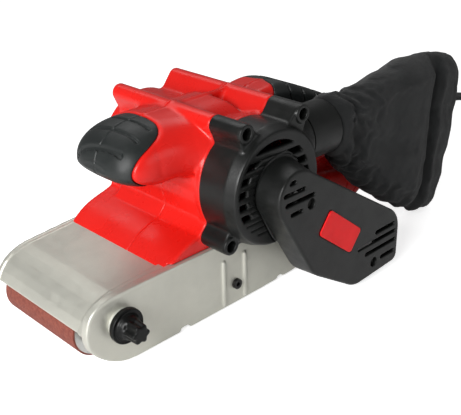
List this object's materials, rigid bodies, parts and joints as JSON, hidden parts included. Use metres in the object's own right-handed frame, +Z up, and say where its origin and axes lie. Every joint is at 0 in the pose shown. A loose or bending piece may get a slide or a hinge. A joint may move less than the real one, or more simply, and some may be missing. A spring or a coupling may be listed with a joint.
{
  "type": "handheld belt sander",
  "caption": "Handheld belt sander with a wide abrasive loop on two rollers, cast frame, side-mounted motor drive, front knob and rear loop handle, dust bag and mains lead",
  "frame": {"origin": "centre of the flat sole of the sanding belt, on the surface it sands", "axes": "+X rearward along the belt's travel line, towards the handle and bag; -Y the drive side with the knob, motor cap and drive cover; +Z up"},
  "size_m": [0.6398, 0.187, 0.139],
  "materials": {
    "cast_aluminium": "fine cast, slightly greenish silver",
    "foam_pad": "matt sponge",
    "steel_plate": "rubbed smooth",
    "abrasive_belt": "coarse grit",
    "turned_aluminium": "turned",
    "bearing_steel": "ground",
    "machined_steel": "turned",
    "dark_screws": "black oxide",
    "pressed_steel": "zinc plated",
    "spring_steel": "drawn wire",
    "knob_plastic": "satin",
    "roller_rubber": "matt",
    "brass_parts": "turned",
    "pulley_metal": "sintered",
    "toothed_rubber": "matt",
    "laminations": "varnished laminations",
    "copper_windings": "enamelled copper",
    "fan_plastic": "moulded",
    "carbon": "matt carbon",
    "black_plastic": "fine textured",
    "label_film": "satin film",
    "red_plastic": "satin gloss",
    "black_rubber": "matt soft grip",
    "bag_fabric": "woven cloth",
    "cord_rubber": "satin",
    "tie_wire": "matt",
    "pin_brass": "bright"
  },
  "bodies": {
    "base": {"base_frame": "cast_aluminium", "platen_pad": "foam_pad", "platen_plate": "steel_plate", "sanding_belt": "abrasive_belt", "tension_spring": "spring_steel", "lever_pin": "machined_steel", "tracking_bush": "cast_aluminium", "drive_bearings": "bearing_steel", "countershaft_bush": "brass_parts", "toothed_belt": "toothed_rubber", "stator_core": "laminations", "field_coils": "copper_windings", "motor_bearings": "bearing_steel", "brush_holders": "brass_parts", "carbon_brushes": "carbon", "brush_caps": "black_plastic", "motor_end_cap": "black_plastic", "drive_cover": "black_plastic", "cover_label": "label_film", "cover_screws": "dark_screws", "near_housing": "red_plastic", "far_housing": "red_plastic", "front_grip": "black_rubber", "rear_grip": "black_rubber", "switch_body": "black_plastic", "housing_screws": "dark_screws", "frame_screws": "dark_screws", "cord_guard": "cord_rubber", "power_cord": "cord_rubber", "cord_coil": "cord_rubber", "cord_tie": "tie_wire", "plug_body": "cord_rubber", "plug_pins": "pin_brass"},
    "tension_slide": {"tension_rod": "pressed_steel", "bracket_pivot_pin": "machined_steel"},
    "idler_yoke": {"idler_bracket": "pressed_steel", "idler_axle": "machined_steel", "idler_axle_screw": "dark_screws"},
    "idler": {"idler_roller": "turned_aluminium", "idler_bearings": "bearing_steel"},
    "lever": {"release_lever": "pressed_steel"},
    "knob": {"tracking_knob": "knob_plastic", "tracking_screw": "dark_screws"},
    "armature": {"armature_shaft": "machined_steel", "armature_core": "laminations", "armature_windings": "copper_windings", "commutator": "copper_windings", "cooling_fan": "fan_plastic", "motor_pulley": "pulley_metal"},
    "counter": {"countershaft": "machined_steel", "counter_gear": "machined_steel", "large_pulley": "pulley_metal"},
    "drive": {"drive_roller_core": "turned_aluminium", "drive_roller_sleeve": "roller_rubber", "drive_shaft": "machined_steel", "drive_gear": "machined_steel"},
    "trigger_lever": {"trigger": "black_plastic"},
    "lock": {"lock_button": "black_plastic"},
    "bag": {"bag_collar": "black_plastic", "dust_bag": "bag_fabric"}
  },
  "joints": [
    {"name": "motor_spin", "type": "hinge", "parent": "base", "child": "armature", "pos_m": [0.025, -0.06, 0.097], "axis": [0, 1, 0], "continuous": true},
    {"name": "counter_spin", "type": "hinge", "parent": "base", "child": "counter", "pos_m": [0.08982, -0.08, 0.03705], "axis": [0, 1, 0], "continuous": true},
    {"name": "drive_roller_spin", "type": "hinge", "parent": "base", "child": "drive", "pos_m": [0.0849, 0, 0.0187], "axis": [0, 1, 0], "continuous": true},
    {"name": "release_lever_turn", "type": "hinge", "parent": "base", "child": "lever", "pos_m": [-0.01, 0.02, 0.019], "axis": [0, 0, 1], "range_deg": [0, 80]},
    {"name": "tension_slide", "type": "slide", "parent": "base", "child": "tension_slide", "axis": [1, 0, 0], "range_m": [0, 0.00553], "deforming": ["tension_spring", "sanding_belt"]},
    {"name": "tracking_knob_turn", "type": "hinge", "parent": "base", "child": "knob", "pos_m": [-0.083, -0.07, 0.0315], "axis": [0, 1, 0], "range_deg": [0, 540]},
    {"name": "tracking_swing", "type": "hinge", "parent": "tension_slide", "child": "idler_yoke", "pos_m": [-0.052, -0.01, 0.019], "axis": [0, 0, -1], "range_deg": [0, 1.5]},
    {"name": "idler_roller_spin", "type": "hinge", "parent": "idler_yoke", "child": "idler", "pos_m": [-0.0849, 0, 0.0187], "axis": [0, 1, 0], "continuous": true},
    {"name": "trigger_pull", "type": "hinge", "parent": "base", "child": "trigger_lever", "pos_m": [0.093, -0.018, 0.103], "axis": [0, -1, 0], "range_deg": [0, 7], "stiffness_Nm_per_rad": 0.8, "springref_deg": -2.86},
    {"name": "lock_button_press", "type": "slide", "parent": "base", "child": "lock", "axis": [0, 1, 0], "range_m": [0, 0.003], "stiffness_N_per_m": 400, "springref_m": -0.001},
    {"name": "dust_bag_pull", "type": "slide", "parent": "base", "child": "bag", "axis": [1, 0, 0], "range_m": [0, 0.05]}
  ],
  "couplings": [
    {"joint": "counter_spin", "follows": "motor_spin", "ratio": 0.35294},
    {"joint": "drive_roller_spin", "follows": "motor_spin", "ratio": -0.25668},
    {"joint": "idler_roller_spin", "follows": "motor_spin", "ratio": -0.25668},
    {"joint": "release_lever_turn", "follows": "tension_slide", "rad_per_m": 252.58},
    {"joint": "tracking_swing", "follows": "tracking_knob_turn", "ratio": 0.0027778}
  ]
}
